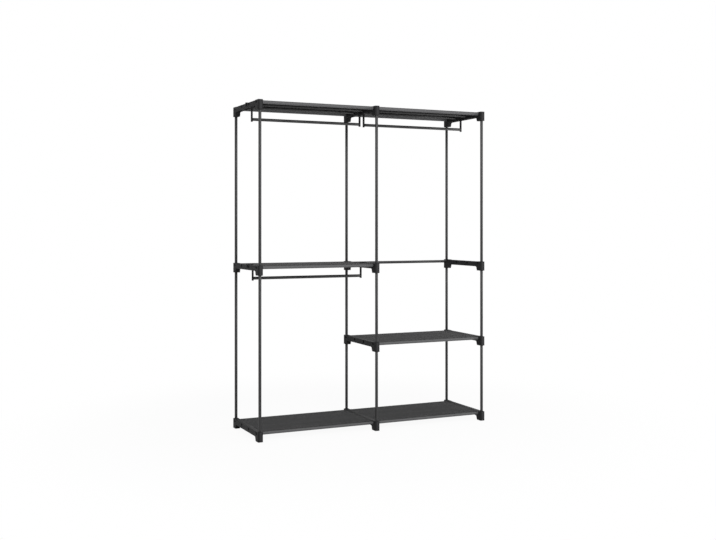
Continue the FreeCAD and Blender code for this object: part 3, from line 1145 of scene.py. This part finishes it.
class WARDROBE_OT_socket_rims(bpy.types.Operator):
    """Make the collars round the shelf tubes, the lips round the posts and the blocks' ribs"""

    bl_idname = "wardrobe.socket_rims"
    bl_label = "Socket Rims"

    def execute(self, context):
        sizes = context.scene.wardrobe_moulding
        used, blank = socket_points()
        ring = shared_group("Socket Rim", ring_tree)
        for name, points, out in (
            ("tube_collars", used, sizes.collar_out),
            ("post_rims", post_points(), sizes.post_rim),
        ):
            piece = from_tree(name, ring, {
                "Inner Radius": TUBE_RADIUS + RIM_PLAY, "Wall": sizes.collar_wall,
                "Stand Out": out, "Sink": RIM_SINK,
                "Rim Radius": min(RIM_ROUND, out * RIM_SHARE),
                "Sides": RIM_SIDES, "Material": finish("Moulded Plastic"),
            }, points)
            mark_rub_and_highlight(piece.data)
            hand_over(piece, "frame", "moulded_plastic")
        low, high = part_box(bar_name("left", "base"))
        ribs = from_tree("block_ribs", shared_group("Block Rib", rib_tree), {
            "Width": sizes.rib_width, "Stand Out": sizes.rib_out,
            "Height": high.z - low.z - 2 * sizes.edge_round, "Sides": RIB_SIDES,
            "Material": finish("Moulded Plastic"),
        }, rib_points())
        # Painted highlight: the ribs take the lighter rub colour all over
        mark_rub_and_highlight(ribs.data, least_highlight=RIB_PAINTED_HIGHLIGHT)
        hand_over(ribs, "frame", "moulded_plastic")
        return {"FINISHED"}


class WARDROBE_OT_fabric_shelves(bpy.types.Operator):
    """Make the fabric shelves and their stitches"""

    bl_idname = "wardrobe.fabric_shelves"
    bl_label = "Fabric Shelves"

    def execute(self, context):
        stitches = shared_group("Stitches", stitch_tree)
        for tag in SHELVES:
            cloth_piece(tag, stitches)
        return {"FINISHED"}


class WARDROBE_OT_hanging_rods(bpy.types.Operator):
    """Make the hanging rods and their hooks"""

    bl_idname = "wardrobe.hanging_rods"
    bl_label = "Hanging Rods"

    def execute(self, context):
        tree = shared_group("Coated Tube", tube_tree)
        edge_round = context.scene.wardrobe_moulding.edge_round
        for tag in RODS:
            tube_piece("hanging_rod_" + tag, tree, axis=0)
            rod = centre_of("hanging_rod_" + tag)

            def on_peg(point):
                return math.hypot(point.y - rod.y, point.z - rod.z) < TUBE_RADIUS - MM

            moulded_piece("rod_hooks_" + tag, edge_round, on_peg)
        return {"FINISHED"}


class WARDROBE_OT_stage(bpy.types.Operator):
    """Make the floor, the light and the camera"""

    bl_idname = "wardrobe.stage"
    bl_label = "Stage"

    def execute(self, context):
        scene = context.scene
        settings = scene.wardrobe_stage
        scene.view_settings.view_transform = "Standard"
        self.make_world(scene, settings)
        self.make_floor(scene, settings)
        self.make_lights(scene, settings)
        self.make_camera(scene, settings)
        return {"FINISHED"}

    @staticmethod
    def seen_directly(tree):
        """1 where a ray comes from the camera, a reflection or a refraction."""
        path = tree.add("ShaderNodeLightPath")
        seen = tree.math("MAXIMUM", path.outputs["Is Camera Ray"], path.outputs["Is Glossy Ray"])
        return tree.math("MAXIMUM", seen, path.outputs["Is Transmission Ray"])

    def make_world(self, scene, settings):
        world = bpy.data.worlds.new("White Studio")
        world.use_nodes = True
        tree = Tree(world.node_tree)
        world.node_tree.nodes.clear()
        around, shown = (tree.add("ShaderNodeBackground", Color=WHITE, Strength=strength)
                         for strength in (settings.ambient, 1.0))
        light = tree.either(self.seen_directly(tree), around.outputs["Background"],
                            shown.outputs["Background"])
        tree.add("ShaderNodeOutputWorld", Surface=light)
        scene.world = world

    def make_floor(self, scene, settings):
        mesh = bpy.data.meshes.new("floor")
        corners = [(x * FLOOR_HALF, y * FLOOR_HALF, 0.0)
                   for x, y in ((-1, -1), (1, -1), (1, 1), (-1, 1))]
        mesh.from_pydata(corners, [], [(0, 1, 2, 3)])
        floor = new_piece("floor", mesh)
        material = bpy.data.materials.new("White Floor")
        material.use_nodes = True
        tree = Tree(material.node_tree)
        material.node_tree.nodes.clear()
        matt = tree.add("ShaderNodeBsdfDiffuse", Color=rgba(settings.floor))
        glow = tree.add("ShaderNodeEmission", Color=WHITE, Strength=1.0)
        place = tree.add("ShaderNodeTexCoord").outputs["Object"]
        away = tree.vector_math("LENGTH", place, output="Value")
        even = tree.ramp(away, SHADOW_NEAR, SHADOW_FAR, "SMOOTHSTEP", To_Min=SHADOW_KEPT,
                         To_Max=1.0)
        share = tree.math("MULTIPLY", self.seen_directly(tree), even)
        surface = tree.either(share, matt.outputs["BSDF"], glow.outputs["Emission"])
        tree.add("ShaderNodeOutputMaterial", Surface=surface)
        mesh.materials.append(material)

    def make_lights(self, scene, settings):
        for name, at, size, power in (
            ("key", KEY_PLACE, KEY_SIZE, settings.key_power),
            ("fill", FILL_PLACE, FILL_SIZE, settings.fill_power),
        ):
            lamp = bpy.data.lights.new(name, "AREA")
            lamp.energy = power
            lamp.shape = "SQUARE"
            lamp.size = size
            light = bpy.data.objects.new(name, lamp)
            light.location = at
            light.rotation_euler = (LIT_POINT - at).to_track_quat("-Z", "Y").to_euler()
            scene.collection.objects.link(light)

    def make_camera(self, scene, settings):
        camera = bpy.data.cameras.new("camera")
        camera.lens = settings.lens
        camera.sensor_width = SENSOR_MM
        camera.shift_y = CAMERA_SHIFT
        view = bpy.data.objects.new("camera", camera)
        view.location = CAMERA_PLACE
        view.rotation_euler = (math.radians(90), 0.0, math.radians(CAMERA_TURN))
        scene.collection.objects.link(view)
        scene.camera = view


class VIEW3D_PT_wardrobe(bpy.types.Panel):
    """Sizes, finishes and steps of the wardrobe"""

    bl_label = "Open Frame Wardrobe"
    bl_space_type = "VIEW_3D"
    bl_region_type = "UI"
    bl_category = "Wardrobe"

    def draw(self, context):
        for step in STEPS:
            self.layout.operator(step.bl_idname)
        for name, group in GROUPS:
            box = self.layout.box()
            settings = getattr(context.scene, name)
            for label in group.__annotations__:
                box.prop(settings, label)


STEPS = (
    WARDROBE_OT_tubes,
    WARDROBE_OT_side_bars,
    WARDROBE_OT_socket_rims,
    WARDROBE_OT_fabric_shelves,
    WARDROBE_OT_hanging_rods,
    WARDROBE_OT_stage,
)


def register():
    for name, group in GROUPS:
        bpy.utils.register_class(group)
        setattr(bpy.types.Scene, name, PointerProperty(type=group))
    for step in STEPS:
        bpy.utils.register_class(step)
    bpy.utils.register_class(VIEW3D_PT_wardrobe)


def unregister():
    bpy.utils.unregister_class(VIEW3D_PT_wardrobe)
    for step in reversed(STEPS):
        bpy.utils.unregister_class(step)
    for name, group in reversed(GROUPS):
        delattr(bpy.types.Scene, name)
        bpy.utils.unregister_class(group)


def main():
    register()
    bpy.ops.wardrobe.tubes()
    bpy.ops.wardrobe.side_bars()
    bpy.ops.wardrobe.socket_rims()
    bpy.ops.wardrobe.fabric_shelves()
    bpy.ops.wardrobe.hanging_rods()
    bpy.ops.wardrobe.stage()


if __name__ == "__main__":
    main()
